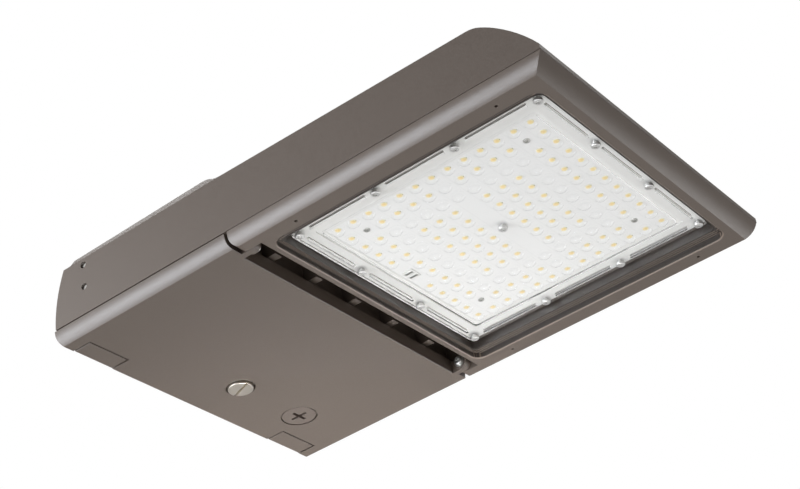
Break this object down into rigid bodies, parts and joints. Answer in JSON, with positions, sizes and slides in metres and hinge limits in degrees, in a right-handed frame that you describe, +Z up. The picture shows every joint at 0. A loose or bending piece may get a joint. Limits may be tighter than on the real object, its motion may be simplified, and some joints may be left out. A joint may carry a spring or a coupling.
{
  "type": "area light",
  "caption": "Flat outdoor area light with a finned body, a clear lens over rows of light sources, a hinged driver door with a quarter-turn fastener, and a rear arm mount.",
  "frame": {"origin": "middle of the rear mounting pad's face, between the two arm bolts", "axes": "+X forward from the pad to the nose, +Y to the left, +Z up; the light shines toward -Z"},
  "size_m": [0.4856, 0.32, 0.0754],
  "materials": {
    "bronze_paint": "satin powder coat with fine metallic flake",
    "bronze_plastic": "fine matt",
    "nickel": "satin nickel plate",
    "plated_steel": "zinc plate",
    "clear_optic": "clear moulded optic",
    "silicone": "pale silicone",
    "rubber": "matt black rubber",
    "black_plastic": "matt",
    "white_board": "white solder mask",
    "white_plastic": "moulded",
    "phosphor": "yellow phosphor under clear resin",
    "driver_case": "coated case"
  },
  "bodies": {
    "body": {"housing": "bronze_paint", "lamp_frame": "bronze_paint", "heat_sink": "bronze_paint", "frame_screws": "plated_steel", "sink_screws": "plated_steel", "rear_plate": "bronze_paint", "rear_screws": "plated_steel", "bay_cover": "bronze_paint", "cover_screws": "plated_steel", "receiver_posts": "plated_steel", "corner_bracket_right": "plated_steel", "corner_bracket_left": "plated_steel", "hinge_screw_right": "plated_steel", "hinge_screw_left": "plated_steel", "hinge_washer_right": "plated_steel", "hinge_washer_left": "plated_steel", "latch_receiver": "plated_steel", "receiver_screws": "plated_steel", "lens_plate": "clear_optic", "lens_gasket": "silicone", "lens_screws": "plated_steel", "centre_screw": "plated_steel", "led_board": "white_board", "leds": "phosphor", "board_screws": "plated_steel", "board_connector": "white_plastic", "thermal_pad": "silicone", "mount_bracket": "plated_steel", "side_screws": "plated_steel", "wire_grommet": "rubber", "led_driver": "driver_case", "driver_bracket": "plated_steel", "driver_screws": "plated_steel", "surge_protector": "black_plastic", "surge_screws": "plated_steel", "terminal_block": "white_plastic", "terminal_screws": "plated_steel", "earth_screw": "plated_steel"},
    "door": {"driver_door": "bronze_paint", "door_gasket": "rubber", "sensor_plug": "bronze_plastic", "plug_ring": "rubber", "plug_nut": "black_plastic"},
    "latch": {"latch_stud": "nickel", "latch_clip": "plated_steel", "latch_pin": "plated_steel"}
  },
  "joints": [
    {"name": "door_hinge", "type": "hinge", "parent": "body", "child": "door", "pos_m": [0.1972, 0, -0.0331], "axis": [0, -1, 0], "range_deg": [0, 80]},
    {"name": "latch_turn", "type": "hinge", "parent": "door", "child": "latch", "pos_m": [0.0515, 0.0095, -0.04], "axis": [0, 0, 1], "range_deg": [0, 90]}
  ]
}
